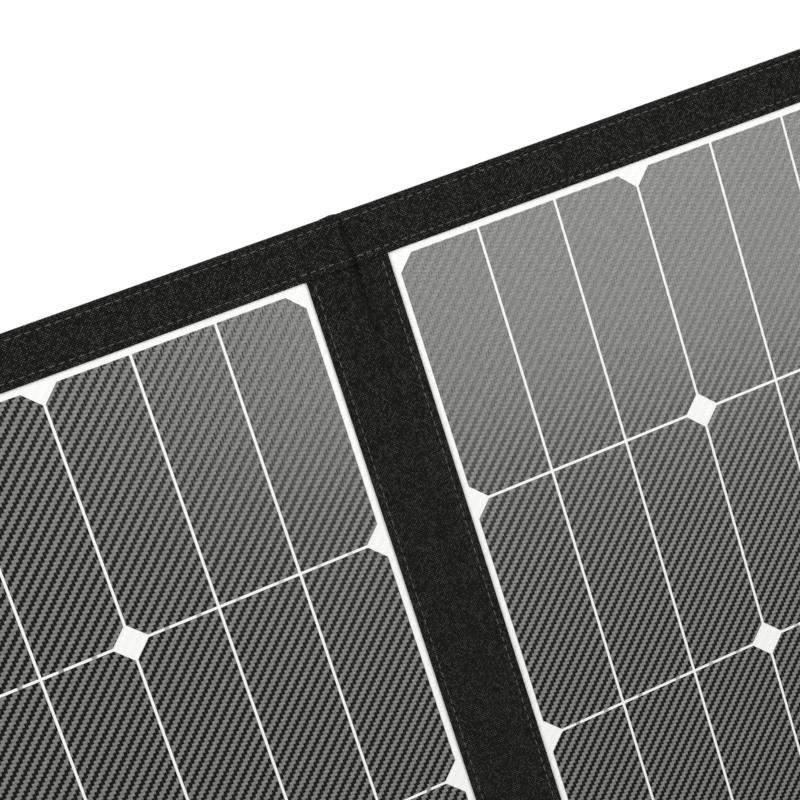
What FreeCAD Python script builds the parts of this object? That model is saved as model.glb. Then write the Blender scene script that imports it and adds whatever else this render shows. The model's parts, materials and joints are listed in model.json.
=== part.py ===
import FreeCAD, Part
import math
import os
import re
import Sketcher

# A folding solar blanket laid flat: four stiff solar panels in a row along X, sewn into one fabric
# blanket, with a fold between neighbours. The two outer panels carry a handle each on the upper hem,
# the borders of the free ends carry eyelets, and a small tab on the lower hem of the last panel
# carries the junction box under a flap. Front side up (+Z), origin on the ground under the middle
# of the blanket, Y along the folds.

doc = FreeCAD.newDocument("solar_blanket")

# ---------------------------------------------------------------- driving dimensions, millimetres
DIMENSIONS = {
    # cell strips: each square cell is cut into three strips
    "outer_strip": 42.4,
    "middle_strip": 40.2,
    "strip_gap": 1.4,
    "cell_height": 125.0,
    "cell_chamfer": 7.9,
    "cell_columns": 3,
    "cell_rows": 4,
    "cell_thick": 0.2,
    "tab_width": 2.4,
    "tab_inset": 8.0,
    "tab_thick": 0.12,
    # window in the fabric and the border around it
    "cell_margin": 3.6,
    "lap": 8.0,
    "spine_width": 42.0,
    "hem_width": 25.0,
    "end_width": 40.0,
    "crease_gap": 0.3,
    # layers, from the back to the front
    "cover_thick": 0.6,
    "board_thick": 1.6,
    "sheet_thick": 0.4,
    "front_thick": 0.4,
    "lap_thick": 0.8,
    "hem_thick": 1.2,
    "hem_back": 1.1,
    "hem_drop": 3.0,
    # flat copper ribbons in the lower hem
    "ribbon_width": 5.0,
    "ribbon_thick": 0.4,
    "ribbon_spacing": 6.5,
    # folds: heights of the fold lines over the ground
    "front_fold_height": 4.8,
    "back_fold_height": -0.8,
    # eyelets
    "eyelet_bore": 10.0,
    "eyelet_barrel": 11.2,
    "eyelet_flange": 20.0,
    "eyelet_clearance": 0.2,
    "eyelet_low": 0.1,
    "eyelet_washer": 0.6,
    "eyelet_dome": 0.8,
    "eyelet_count": 4,
    "eyelet_inset": 14.0,
    # carry handles
    "reach": 80.0,
    "handle_half_width": 60.0,
    "handle_corner": 28.0,
    "handle_grip_radius": 5.0,
    "webbing_width": 20.0,
    "webbing_thick": 2.0,
    "webbing_sewn": 13.0,
    "webbing_start": 0.8,
    "webbing_leg": 14.0,
    # tab with the junction box
    "tab_length": 150.0,
    "tab_start": 1.5,
    "tab_fabric": 2.4,
    "box_start": 18.0,
    "box_depth": 40.0,
    "box_length": 96.0,
    "box_height": 11.0,
    "box_wall": 2.0,
    "box_corner": 4.0,
    "lid_thick": 2.2,
    "boss_radius": 3.2,
    "boss_inset": 5.6,
    "screw_radius": 1.4,
    "screw_head": 2.6,
    "screw_length": 8.0,
    "gland_bore": 6.0,
    "gland_thread": 8.0,
    "gland_hex": 11.0,
    "gland_outside": 14.0,
    "gland_inside": 3.8,
    "gland_spacing": 14.0,
    "terminal_length": 60.0,
    "terminal_depth": 9.0,
    "terminal_height": 6.0,
    "terminal_count": 5,
    "diode_radius": 2.6,
    "diode_length": 9.0,
    "flap_length": 104.0,
    "flap_thick": 1.0,
    "flap_hinge": 6.0,
    "flap_rise": 17.0,
    "flap_crest": 59.5,
    "flap_foot": 66.0,
    "flap_end": 78.0,
    "flap_height": 16.2,
    "fastener_thick": 0.7,
    "fastener_gap": 0.1,
}

sheet = doc.addObject("Spreadsheet::Sheet", "dims")
for row, (alias, number) in enumerate(DIMENSIONS.items(), start=1):
    sheet.set(f"A{row}", alias)
    sheet.set(f"B{row}", str(number))
    sheet.setAlias(f"B{row}", alias)
doc.recompute()

PANELS = 4
RIGHT = 1
LEFT = -1


def size(formula):
    """The formula with every alias looked up in the sheet."""
    return re.sub(r"[a-z][a-z_]*", r"dims.\g<0>", formula)


def value(formula):
    """The number that a formula of aliases gives."""
    return float(sheet.evalExpression(formula))


# ------------------------------------------------------------------------------ derived formulas
COLUMN_PITCH = "(2 * outer_strip + middle_strip + 3 * strip_gap)"
ROW_PITCH = "(cell_height + strip_gap)"
CELLS_X = f"(cell_columns * {COLUMN_PITCH} - strip_gap)"
CELLS_Y = f"(cell_rows * {ROW_PITCH} - strip_gap)"
WINDOW_X = f"({CELLS_X} / 2 + cell_margin)"
WINDOW_Y = f"({CELLS_Y} / 2 + cell_margin)"
LAMINATE_X = f"({WINDOW_X} + lap)"
LAMINATE_Y = f"({WINDOW_Y} + lap)"
PANEL_PITCH = f"(2 * {WINDOW_X} + spine_width)"
CREASE = f"({PANEL_PITCH} / 2 - crease_gap / 2)"
OUTER_X = f"({WINDOW_X} + end_width)"
OUTER_Y = f"({WINDOW_Y} + hem_width)"
SHEET_LOW = "(cover_thick + board_thick)"
CELL_LOW = f"({SHEET_LOW} + sheet_thick)"
FRONT_LOW = f"({CELL_LOW} + cell_thick)"
LAP_LOW = f"({FRONT_LOW} + front_thick)"
LAP_HIGH = f"({LAP_LOW} + lap_thick)"
HEM_HIGH = "(hem_back + hem_thick)"
END_X = f"((panel_count - 1) / 2 * {PANEL_PITCH} + {OUTER_X})".replace("panel_count", str(PANELS))
BOX_TOP = "(tab_fabric + box_height)"


def panel_centre(number):
    return f"({number - (PANELS + 1) / 2} * {PANEL_PITCH})"


# ------------------------------------------------------------------------------- making sub-parts
def origin_feature(body, role):
    return next(item for item in body.Origin.OriginFeatures if item.Role == role)


def place(item, base, turn=0):
    """Stand an item at base, a formula for each axis, turned about Z."""
    item.Placement.Rotation = FreeCAD.Rotation(FreeCAD.Vector(0, 0, 1), turn)
    for axis, formula in zip("xyz", base):
        item.setExpression(f"Placement.Base.{axis}", size(formula))


def make_body(label, x="0", y="0", z="0", turn=0):
    """An empty body that stands at x, y, z, turned about Z."""
    body = doc.addObject("PartDesign::Body", label)
    body.Label = label
    body.AllowCompound = True
    place(body, (x, y, z), turn)
    return body


def make_sketch(body, name, role, outlines=(), circles=()):
    """A sketch of closed outlines, each a list of (across, up) formulas, and circles."""
    sketch = body.newObject("Sketcher::SketchObject", f"{body.Label}_{name}")
    sketch.AttachmentSupport = [(origin_feature(body, role), "")]
    sketch.MapMode = "FlatFace"
    for outline in outlines:
        first = sketch.GeometryCount
        corners = [FreeCAD.Vector(value(across), value(up), 0) for across, up in outline]
        for start, end in zip(corners, corners[1:] + corners[:1]):
            sketch.addGeometry(Part.LineSegment(start, end), False)
        for step, (across, up) in enumerate(outline):
            side = first + step
            following = first + (step + 1) % len(outline)
            sketch.addConstraint(Sketcher.Constraint("Coincident", side, 2, following, 1))
            bind_point(sketch, side, 1, across, up)
    for across, up, diameter in circles:
        centre = FreeCAD.Vector(value(across), value(up), 0)
        ring = sketch.addGeometry(Part.Circle(centre, FreeCAD.Vector(0, 0, 1), value(diameter) / 2))
        bind_point(sketch, ring, 3, across, up)
        bind(sketch, Sketcher.Constraint("Diameter", ring, value(diameter)), diameter)
    return sketch


def bind(sketch, constraint, formula):
    """Add a constraint whose number follows the sheet."""
    index = sketch.addConstraint(constraint)
    sketch.setExpression(f"Constraints[{index}]", size(formula))


def bind_point(sketch, geometry, vertex, across, up):
    for kind, formula in (("DistanceX", across), ("DistanceY", up)):
        constraint = Sketcher.Constraint(kind, -1, 1, geometry, vertex, value(formula))
        bind(sketch, constraint, formula)


def rectangle(low_across, high_across, low_up, high_up):
    return [(low_across, low_up), (high_across, low_up), (high_across, high_up), (low_across, high_up)]


def pad(body, name, sketch, length, symmetric=False, upside_down=False):
    feature = body.newObject("PartDesign::Pad", f"{body.Label}_{name}")
    feature.Profile = sketch
    feature.setExpression("Length", size(length))
    feature.SideType = "Symmetric" if symmetric else "One side"
    feature.Reversed = upside_down
    return feature


def pocket(body, name, sketch, length, upside_down=False):
    """Cut a sketch out of the body, and make sure that it removes material."""
    doc.recompute()
    before = body.Shape.Volume
    feature = body.newObject("PartDesign::Pocket", f"{body.Label}_{name}")
    feature.Profile = sketch
    feature.setExpression("Length", size(length))
    feature.Reversed = upside_down
    doc.recompute()
    if body.Shape.Volume > before - 1:
        raise SystemExit(f"{feature.Name} cuts nothing")
    return feature


def row_pattern(body, name, role, count, spacing):
    """A linear pattern along one axis of the body."""
    feature = body.newObject("PartDesign::LinearPattern", f"{body.Label}_{name}")
    feature.Direction = (origin_feature(body, role), [""])
    feature.Mode = "Spacing"
    feature.setExpression("Occurrences", size(count))
    feature.setExpression("Offset", size(spacing))
    return feature


def repeat(body, name, features, role, count, spacing):
    """Copies of features in a row along one axis."""
    feature = row_pattern(body, name, role, count, spacing)
    feature.Originals = features
    body.Tip = feature


def repeat_grid(body, features, count_x, spacing_x, count_y, spacing_y):
    """Copies of features in rows and columns."""
    grid = body.newObject("PartDesign::MultiTransform", f"{body.Label}_grid")
    grid.Originals = features
    columns = row_pattern(body, "columns", "X_Axis", count_x, spacing_x)
    rows = row_pattern(body, "rows", "Y_Axis", count_y, spacing_y)
    grid.Transformations = [columns, rows]
    body.Tip = grid


def plate(label, outline, low, thickness, x="0", y="0", turn=0):
    """A flat piece lying at the height low."""
    body = make_body(label, x, y, low, turn)
    pad(body, "pad", make_sketch(body, "outline", "XY_Plane", [outline]), thickness)
    return body


# --------------------------------------------------------------------------------- panel laminate
def backing_board(number):
    outline = rectangle(f"-{LAMINATE_X}", LAMINATE_X, f"-{LAMINATE_Y}", LAMINATE_Y)
    plate(f"backing_board_{number}", outline, "cover_thick", "board_thick", panel_centre(number))


def white_backsheet(number):
    outline = rectangle(f"-{LAMINATE_X}", LAMINATE_X, f"-{LAMINATE_Y}", LAMINATE_Y)
    plate(f"white_backsheet_{number}", outline, SHEET_LOW, "sheet_thick", panel_centre(number))


def clear_frontsheet(number):
    outline = rectangle(f"-{LAMINATE_X}", LAMINATE_X, f"-{LAMINATE_Y}", LAMINATE_Y)
    plate(f"clear_frontsheet_{number}", outline, FRONT_LOW, "front_thick", panel_centre(number))


def cell_strips(number):
    """Three strips make a cell: the outer two carry its cut corners. Cells stand in a grid."""
    body = make_body(f"cell_strips_{number}", panel_centre(number), "0", CELL_LOW)
    left = f"-{CELLS_X} / 2"
    bottom = f"-{CELLS_Y} / 2"
    top = f"{bottom} + cell_height"
    middle = f"{left} + outer_strip + strip_gap"
    right = f"{middle} + middle_strip + strip_gap"
    far = f"{right} + outer_strip"
    left_strip = [
        (f"{left} + cell_chamfer", bottom),
        (f"{left} + outer_strip", bottom),
        (f"{left} + outer_strip", top),
        (f"{left} + cell_chamfer", top),
        (left, f"{top} - cell_chamfer"),
        (left, f"{bottom} + cell_chamfer"),
    ]
    middle_strip = rectangle(middle, f"{middle} + middle_strip", bottom, top)
    right_strip = [
        (right, bottom),
        (f"{far} - cell_chamfer", bottom),
        (far, f"{bottom} + cell_chamfer"),
        (far, f"{top} - cell_chamfer"),
        (f"{far} - cell_chamfer", top),
        (right, top),
    ]
    sketch = make_sketch(body, "outline", "XY_Plane", [left_strip, middle_strip, right_strip])
    cell = pad(body, "cell", sketch, "cell_thick")
    repeat_grid(body, [cell], "cell_columns", COLUMN_PITCH, "cell_rows", ROW_PITCH)


def interconnect_tabs(number):
    """Two small metal tabs bridge each gap between a strip and the next one in its column."""
    body = make_body(f"interconnect_tabs_{number}", panel_centre(number), "0", CELL_LOW)
    left = f"-{CELLS_X} / 2"
    low = f"-{CELLS_Y} / 2 + cell_height"
    strips = (
        (f"{left} + cell_chamfer", f"{left} + outer_strip"),
        (f"{left} + outer_strip + strip_gap", f"{left} + outer_strip + strip_gap + middle_strip"),
        (
            f"{left} + outer_strip + 2 * strip_gap + middle_strip",
            f"{left} + 2 * outer_strip + 2 * strip_gap + middle_strip - cell_chamfer",
        ),
    )
    outlines = []
    for start, end in strips:
        for near in (f"{start} + tab_inset", f"{end} - tab_inset - tab_width"):
            outlines.append(rectangle(near, f"{near} + tab_width", low, f"{low} + strip_gap"))
    tabs = pad(body, "tabs", make_sketch(body, "outline", "XY_Plane", outlines), "tab_thick")
    repeat_grid(body, [tabs], "cell_columns", COLUMN_PITCH, "cell_rows - 1", ROW_PITCH)


# ------------------------------------------------------------------------------ fabric of a panel
def stepped_band(inner, laminate_edge, outer):
    """Section of a fabric border: it laps over the laminate's edge, then drops to the back cover."""
    return [
        (inner, LAP_LOW),
        (f"{laminate_edge} + lap_thick / 2", LAP_LOW),
        (f"{laminate_edge} + hem_drop", "hem_back"),
        (outer, "hem_back"),
        (outer, HEM_HIGH),
        (f"{laminate_edge} + hem_drop", HEM_HIGH),
        (f"{laminate_edge} + lap_thick", LAP_HIGH),
        (inner, LAP_HIGH),
    ]


def mirrored(outline):
    """The same outline on the other side of the vertical axis."""
    return [(f"-({across})", up) for across, up in reversed(outline)]


def outer_edge(number, side):
    """How far a panel's fabric goes along X: to the crease, or to the inner line of a free end."""
    free_side = {1: LEFT, PANELS: RIGHT}.get(number)
    return WINDOW_X if side == free_side else CREASE


def hem(number, name, side):
    """The hem band above or below the window, from one crease to the next."""
    left = outer_edge(number, LEFT)
    right = outer_edge(number, RIGHT)
    middle = f"({right} - {left}) / 2 + {panel_centre(number)}"
    body = make_body(f"{name}_{number}", middle)
    section = stepped_band(WINDOW_Y, LAMINATE_Y, OUTER_Y)
    if side == LEFT:
        section = mirrored(section)
    sketch = make_sketch(body, "section", "YZ_Plane", [section])
    pad(body, "pad", sketch, f"{right} + {left}", symmetric=True)


def spine_half(number, side):
    """Half of the fabric spine between two panels, from the window to the crease."""
    name = "spine_right" if side == RIGHT else "spine_left"
    body = make_body(f"{name}_{number}", panel_centre(number))
    section = stepped_band(WINDOW_X, LAMINATE_X, CREASE)
    if side == LEFT:
        section = mirrored(section)
    sketch = make_sketch(body, "section", "XZ_Plane", [section])
    pad(body, "pad", sketch, f"2 * {WINDOW_Y}", symmetric=True)


EYELET_X = f"({OUTER_X} - eyelet_inset)"
EYELET_Y = f"({OUTER_Y} - eyelet_inset)"
EYELET_SPACING = f"(2 * {EYELET_Y} / (eyelet_count - 1))"


def end_border(number, side):
    """The border at a free end: it folds round to the ground and carries the eyelets."""
    name = "end_border_right" if side == RIGHT else "end_border_left"
    body = make_body(name, panel_centre(number))
    section = [
        (WINDOW_X, LAP_LOW),
        (f"{LAMINATE_X} + lap_thick / 2", LAP_LOW),
        (f"{LAMINATE_X} + hem_drop", "0"),
        (OUTER_X, "0"),
        (OUTER_X, HEM_HIGH),
        (f"{LAMINATE_X} + hem_drop", HEM_HIGH),
        (f"{LAMINATE_X} + lap_thick", LAP_HIGH),
        (WINDOW_X, LAP_HIGH),
    ]
    if side == LEFT:
        section = mirrored(section)
    sketch = make_sketch(body, "section", "XZ_Plane", [section])
    pad(body, "pad", sketch, f"2 * {OUTER_Y}", symmetric=True)
    across = f"{side} * {EYELET_X}"
    lowest = f"-{EYELET_Y}"
    hole = make_sketch(
        body, "hole", "XY_Plane", circles=[(across, lowest, "eyelet_barrel + 2 * eyelet_clearance")]
    )
    through = pocket(body, "through", hole, LAP_HIGH, upside_down=True)
    recess = make_sketch(
        body, "recess", "XY_Plane", circles=[(across, lowest, "eyelet_flange + 2 * eyelet_clearance")]
    )
    washer = pocket(body, "washer_seat", recess, "eyelet_low + eyelet_washer", upside_down=True)
    repeat(body, "holes", [through, washer], "Y_Axis", "eyelet_count", EYELET_SPACING)


def back_cover(number):
    left = outer_edge(number, LEFT)
    right = outer_edge(number, RIGHT)
    if left == WINDOW_X:
        left = LAMINATE_X
    if right == WINDOW_X:
        right = LAMINATE_X
    outline = rectangle(f"-{left}", right, f"-{OUTER_Y}", OUTER_Y)
    plate(f"back_cover_{number}", outline, "0", "cover_thick", panel_centre(number))


def bus_ribbons(number):
    """The positive and negative copper ribbons that link the panels inside the lower hem."""
    left = outer_edge(number, LEFT)
    right = outer_edge(number, RIGHT)
    low = "(cover_thick + fastener_gap / 2)"
    body = make_body(f"bus_ribbons_{number}", panel_centre(number), "0", low)
    outlines = []
    for lane in (0, 1):
        near = f"-({LAMINATE_Y} + hem_drop + ribbon_width + {lane} * ribbon_spacing)"
        outlines.append(rectangle(f"-{left}", right, near, f"{near} + ribbon_width"))
    pad(body, "ribbon", make_sketch(body, "outline", "XY_Plane", outlines), "ribbon_thick")


def eyelets(number, side):
    """Pressed metal eyelets: a domed flange on the front, a barrel and a washer on the back."""
    name = "eyelets_right" if side == RIGHT else "eyelets_left"
    body = make_body(name, f"{panel_centre(number)} + {side} * {EYELET_X}", f"-{EYELET_Y}")
    bore = "eyelet_bore / 2"
    barrel = "eyelet_barrel / 2"
    flange = "eyelet_flange / 2"
    top = f"{HEM_HIGH} + eyelet_dome"
    section = [
        (bore, "eyelet_low + eyelet_clearance"),
        (f"{bore} + eyelet_clearance", "eyelet_low"),
        (flange, "eyelet_low"),
        (flange, "eyelet_low + eyelet_washer"),
        (barrel, "eyelet_low + eyelet_washer"),
        (barrel, HEM_HIGH),
        (flange, HEM_HIGH),
        (f"{flange} - eyelet_clearance", f"{HEM_HIGH} + eyelet_dome / 2"),
        (f"{flange} - eyelet_dome * 2", top),
        (f"{barrel} + eyelet_dome", top),
        (bore, f"{HEM_HIGH} + eyelet_dome / 2"),
    ]
    sketch = make_sketch(body, "section", "XZ_Plane", [section])
    ring = body.newObject("PartDesign::Revolution", f"{name}_ring")
    ring.Profile = sketch
    ring.ReferenceAxis = (origin_feature(body, "Z_Axis"), [""])
    repeat(body, "row", [ring], "Y_Axis", "eyelet_count", EYELET_SPACING)


# ----------------------------------------------------------------------------------- carry handles
# A handle is drawn pointing along +X from the edge it is sewn to, then turned to point along +Y.
UP_THE_PAGE = 90


def handle_ends(number, name):
    """The two sewn ends of a handle's webbing on the upper hem."""
    body = make_body(name, panel_centre(number), OUTER_Y, HEM_HIGH, UP_THE_PAGE)
    outlines = []
    for hand in (LEFT, RIGHT):
        middle = f"{hand} * handle_half_width"
        across = (f"{middle} - webbing_width / 2", f"{middle} + webbing_width / 2")
        outlines.append(rectangle("-webbing_sewn", "0", *across))
    pad(body, "webbing", make_sketch(body, "outline", "XY_Plane", outlines), "webbing_thick")


def round_bar(label, length, base, axis):
    """A stretch of the rolled grip that starts at base, turned a quarter about a row axis."""
    bar = doc.addObject("Part::Cylinder", label)
    bar.setExpression("Radius", size("handle_grip_radius"))
    bar.setExpression("Height", size(length))
    place(bar, base)
    bar.Placement.Rotation = FreeCAD.Rotation(axis, 90)
    return bar


def carry_handle(number, name):
    """Flat webbing legs that run into a rolled grip, bent to a U, lying on the ground."""
    along_x = FreeCAD.Vector(0, 1, 0)
    along_y = FreeCAD.Vector(1, 0, 0)
    grip_x = "(reach - handle_grip_radius)"
    bend_x = f"({grip_x} - handle_corner)"
    straight = "(2 * (handle_half_width - handle_corner))"
    start = "(webbing_start + webbing_leg - webbing_thick)"
    pieces = []
    for hand, tag, turn in ((LEFT, "near", -90), (RIGHT, "far", 0)):
        leg_y = f"{hand} * handle_half_width"
        leg = doc.addObject("Part::Box", f"{name}_{tag}_leg")
        leg.setExpression("Length", size("webbing_leg"))
        leg.setExpression("Width", size("webbing_width"))
        leg.setExpression("Height", size("webbing_thick"))
        place(leg, ("webbing_start", f"{leg_y} - webbing_width / 2", HEM_HIGH))
        base = (start, leg_y, "handle_grip_radius")
        bar = round_bar(f"{name}_{tag}_bar", f"{bend_x} - {start}", base, along_x)
        bend = doc.addObject("Part::Torus", f"{name}_{tag}_bend")
        bend.setExpression("Radius1", size("handle_corner"))
        bend.setExpression("Radius2", size("handle_grip_radius"))
        bend.Angle3 = 90
        bend_y = f"{hand} * (handle_half_width - handle_corner)"
        place(bend, (bend_x, bend_y, "handle_grip_radius"), turn)
        pieces += [leg, bar, bend]
    base = (grip_x, f"{straight} / 2", "handle_grip_radius")
    pieces.append(round_bar(f"{name}_grip", straight, base, along_y))
    handle = doc.addObject("Part::MultiFuse", name)
    handle.Label = name
    handle.Shapes = pieces
    place(handle, (panel_centre(number), OUTER_Y, "0"), UP_THE_PAGE)


# ------------------------------------------------------------------------------- junction-box tab
# The tab is drawn pointing along +X from the lower hem, then turned to point along -Y.
DOWN_THE_PAGE = -90
TAB_X = panel_centre(PANELS)
TAB_Y = f"(-{OUTER_Y})"
BOX_Y = f"({TAB_Y} - box_start - box_depth / 2)"


def output_tab():
    """A stiffened fabric tab on the lower hem, which carries the junction box."""
    outline = rectangle("tab_start", "reach", "-tab_length / 2", "tab_length / 2")
    plate("output_tab", outline, "0", "tab_fabric", TAB_X, TAB_Y, DOWN_THE_PAGE)


def box_body(label, low, across="0", along="0"):
    """A body that stands at the height low, offset from the middle of the junction box."""
    return make_body(label, f"{TAB_X} + {along}", f"{BOX_Y} - {across}", low, DOWN_THE_PAGE)


def box_corners(inset):
    """The four points inset from the corners of the junction box."""
    return [
        (f"{along} * (box_depth / 2 - {inset})", f"{up} * (box_length / 2 - {inset})")
        for along in (LEFT, RIGHT)
        for up in (LEFT, RIGHT)
    ]


def rounded_vertical_edges(body, name, base, radius):
    """Round the upright edges of a body's outside."""
    doc.recompute()
    box = base.Shape.BoundBox
    corners = []
    for index, edge in enumerate(base.Shape.Edges, start=1):
        ends = edge.BoundBox
        upright = ends.XLength < 0.01 and ends.YLength < 0.01
        at_side = min(abs(ends.XMin - box.XMin), abs(ends.XMax - box.XMax)) < 0.01
        at_end = min(abs(ends.YMin - box.YMin), abs(ends.YMax - box.YMax)) < 0.01
        if upright and at_side and at_end:
            corners.append(f"Edge{index}")
    feature = body.newObject("PartDesign::Fillet", f"{body.Label}_{name}")
    feature.Base = (base, corners)
    feature.setExpression("Radius", size(radius))
    return feature


def junction_box_base():
    body = box_body("junction_box_base", "tab_fabric")
    outside = rectangle("-box_depth / 2", "box_depth / 2", "-box_length / 2", "box_length / 2")
    block = pad(body, "block", make_sketch(body, "outside", "XY_Plane", [outside]), "box_height")
    rounded_vertical_edges(body, "corners", block, "box_corner")
    half_depth = "(box_depth / 2 - box_wall)"
    half_length = "(box_length / 2 - box_wall)"
    inside = rectangle(f"-{half_depth}", half_depth, f"-{half_length}", half_length)
    hollow = make_sketch(body, "inside", "XY_Plane", [inside])
    hollow.setExpression("AttachmentOffset.Base.z", size("box_wall"))
    pocket(body, "hollow", hollow, "box_height", upside_down=True)
    posts = make_sketch(
        body, "posts", "XY_Plane", circles=[(x, y, "2 * boss_radius") for x, y in box_corners("boss_inset")]
    )
    pad(body, "bosses", posts, "box_height")
    holes = make_sketch(
        body,
        "screw_holes",
        "XY_Plane",
        circles=[(x, y, "2 * screw_radius") for x, y in box_corners("boss_inset")],
    )
    holes.setExpression("AttachmentOffset.Base.z", size("box_height + lid_thick - screw_length"))
    pocket(body, "screw_bores", holes, "screw_length", upside_down=True)
    ports = make_sketch(
        body,
        "ports",
        "XZ_Plane",
        circles=[
            (f"{hand} * gland_spacing / 2", "box_height / 2", "gland_thread + eyelet_clearance")
            for hand in (LEFT, RIGHT)
        ],
    )
    ports.setExpression("AttachmentOffset.Base.z", size("box_length / 2 - 2 * box_wall"))
    pocket(body, "port_holes", ports, "3 * box_wall", upside_down=True)


def junction_box_lid():
    body = box_body("junction_box_lid", BOX_TOP)
    outside = rectangle("-box_depth / 2", "box_depth / 2", "-box_length / 2", "box_length / 2")
    block = pad(body, "block", make_sketch(body, "outside", "XY_Plane", [outside]), "lid_thick")
    rounded_vertical_edges(body, "corners", block, "box_corner")
    for name, diameter, low in (("shank", "screw_radius", "0"), ("head", "screw_head", "lid_thick / 2")):
        circles = [(x, y, f"2 * {diameter} + eyelet_clearance") for x, y in box_corners("boss_inset")]
        sketch = make_sketch(body, f"{name}_sketch", "XY_Plane", circles=circles)
        sketch.setExpression("AttachmentOffset.Base.z", size(low))
        pocket(body, f"{name}_holes", sketch, "lid_thick", upside_down=True)


def lid_screws():
    low = f"{BOX_TOP} + lid_thick - screw_length"
    body = box_body("lid_screws", low)
    shanks = [(x, y, "2 * screw_radius") for x, y in box_corners("boss_inset")]
    pad(body, "shank", make_sketch(body, "shanks", "XY_Plane", circles=shanks), "screw_length")
    heads = [(x, y, "2 * screw_head") for x, y in box_corners("boss_inset")]
    sketch = make_sketch(body, "heads", "XY_Plane", circles=heads)
    sketch.setExpression("AttachmentOffset.Base.z", size("screw_length - lid_thick / 2"))
    pad(body, "head", sketch, "lid_thick / 2")


def terminal_block():
    """A plastic strip of terminals along the box floor, with a slot between neighbours."""
    body = box_body("terminal_block", "tab_fabric + box_wall", across="(-box_depth / 6)")
    outline = rectangle(
        "-terminal_depth / 2", "terminal_depth / 2", "-terminal_length / 2", "terminal_length / 2"
    )
    pad(body, "block", make_sketch(body, "outline", "XY_Plane", [outline]), "terminal_height")
    cell = "(terminal_length / terminal_count)"
    start = f"-terminal_length / 2 + {cell} - box_wall / 4"
    slot = make_sketch(
        body,
        "slot",
        "XY_Plane",
        [rectangle("-terminal_depth / 2", "terminal_depth / 2", start, f"{start} + box_wall / 2")],
    )
    slot.setExpression("AttachmentOffset.Base.z", size("terminal_height / 2"))
    cut = pocket(body, "slot_cut", slot, "terminal_height", upside_down=True)
    repeat(body, "slots", [cut], "Y_Axis", "terminal_count - 1", cell)


def blocking_diodes():
    """One diode for each panel, lying on the box floor beside the terminals."""
    low = "tab_fabric + box_wall + diode_radius"
    body = box_body("blocking_diodes", low, across="box_depth / 5")
    cell = "(terminal_length / terminal_count)"
    first = f"-1.5 * {cell} - diode_length / 2"
    sketch = make_sketch(body, "section", "XZ_Plane", circles=[("0", "0", "2 * diode_radius")])
    sketch.setExpression("AttachmentOffset.Base.z", size(f"-({first})"))
    diode = pad(body, "can", sketch, "diode_length", upside_down=True)
    repeat(body, "row", [diode], "Y_Axis", str(PANELS), cell)


def cable_glands():
    """Two glands in the box wall for the output leads."""
    height = "tab_fabric + box_height / 2"
    body = box_body("cable_glands", height, along="(-box_length / 2)")
    across = [f"{hand} * gland_spacing / 2" for hand in (LEFT, RIGHT)]
    threads = make_sketch(body, "threads", "XZ_Plane", circles=[(x, "0", "gland_thread") for x in across])
    threads.setExpression("AttachmentOffset.Base.z", size("-gland_inside"))
    pad(body, "thread", threads, "gland_inside + gland_outside")
    outlines = []
    for x in across:
        corners = [60 * step for step in range(6)]
        outlines.append(
            [
                (
                    f"{x} + gland_hex / 2 * {math.cos(math.radians(turn)):.6f}",
                    f"gland_hex / 2 * {math.sin(math.radians(turn)):.6f}",
                )
                for turn in corners
            ]
        )
    nut = make_sketch(body, "nuts", "XZ_Plane", outlines)
    pad(body, "nut", nut, "gland_outside * 0.7")
    bores = make_sketch(body, "bores", "XZ_Plane", circles=[(x, "0", "gland_bore") for x in across])
    bores.setExpression("AttachmentOffset.Base.z", size("-gland_inside"))
    pocket(body, "bore", bores, "gland_inside + gland_outside", upside_down=True)


def cover_flap():
    """The fabric flap over the junction box, with its foot on the hook-and-loop strips."""
    body = make_body("cover_flap", TAB_X, TAB_Y, "0", DOWN_THE_PAGE)
    foot_low = "tab_fabric + 2 * fastener_thick + fastener_gap"
    top = "flap_height + flap_thick"
    hinge_low = "tab_fabric + fastener_gap"
    section = [
        ("flap_hinge", hinge_low),
        ("flap_hinge + flap_thick", hinge_low),
        ("flap_rise", "flap_height"),
        ("flap_crest", "flap_height"),
        ("flap_foot", foot_low),
        ("flap_end", foot_low),
        ("flap_end", f"{foot_low} + flap_thick"),
        ("flap_foot + flap_thick / 2", f"{foot_low} + flap_thick"),
        ("flap_crest + flap_thick / 2", top),
        ("flap_rise - flap_thick / 2", top),
        ("flap_hinge - flap_thick / 2", f"{hinge_low} + flap_thick / 2"),
    ]
    sketch = make_sketch(body, "section", "XZ_Plane", [section])
    pad(body, "pad", sketch, "flap_length", symmetric=True)


def fastener_strip(label, low):
    outline = rectangle("flap_foot", "flap_end", "-flap_length / 2", "flap_length / 2")
    plate(label, outline, low, "fastener_thick", TAB_X, TAB_Y, DOWN_THE_PAGE)


# -------------------------------------------------------------------------------------- the blanket
for panel in range(1, PANELS + 1):
    back_cover(panel)
    backing_board(panel)
    white_backsheet(panel)
    cell_strips(panel)
    interconnect_tabs(panel)
    clear_frontsheet(panel)
    hem(panel, "hem_upper", RIGHT)
    hem(panel, "hem_lower", LEFT)
    bus_ribbons(panel)
    for edge in (LEFT, RIGHT):
        if outer_edge(panel, edge) == CREASE:
            spine_half(panel, edge)
        else:
            end_border(panel, edge)
            eyelets(panel, edge)
            hand_side = "right" if edge == RIGHT else "left"
            handle_ends(panel, f"handle_ends_{hand_side}")
            carry_handle(panel, f"carry_handle_{hand_side}")

output_tab()
junction_box_base()
junction_box_lid()
lid_screws()
terminal_block()
blocking_diodes()
cable_glands()
cover_flap()
fastener_strip("tab_loop_strip", "tab_fabric")
fastener_strip("flap_hook_strip", "tab_fabric + fastener_thick + fastener_gap")

doc.recompute()

# ------------------------------------------------------------------------------------ check and write
for item in doc.Objects:
    if "Invalid" in item.State or "Error" in item.State:
        raise SystemExit(f"{item.Label}: {item.State}")

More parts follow.
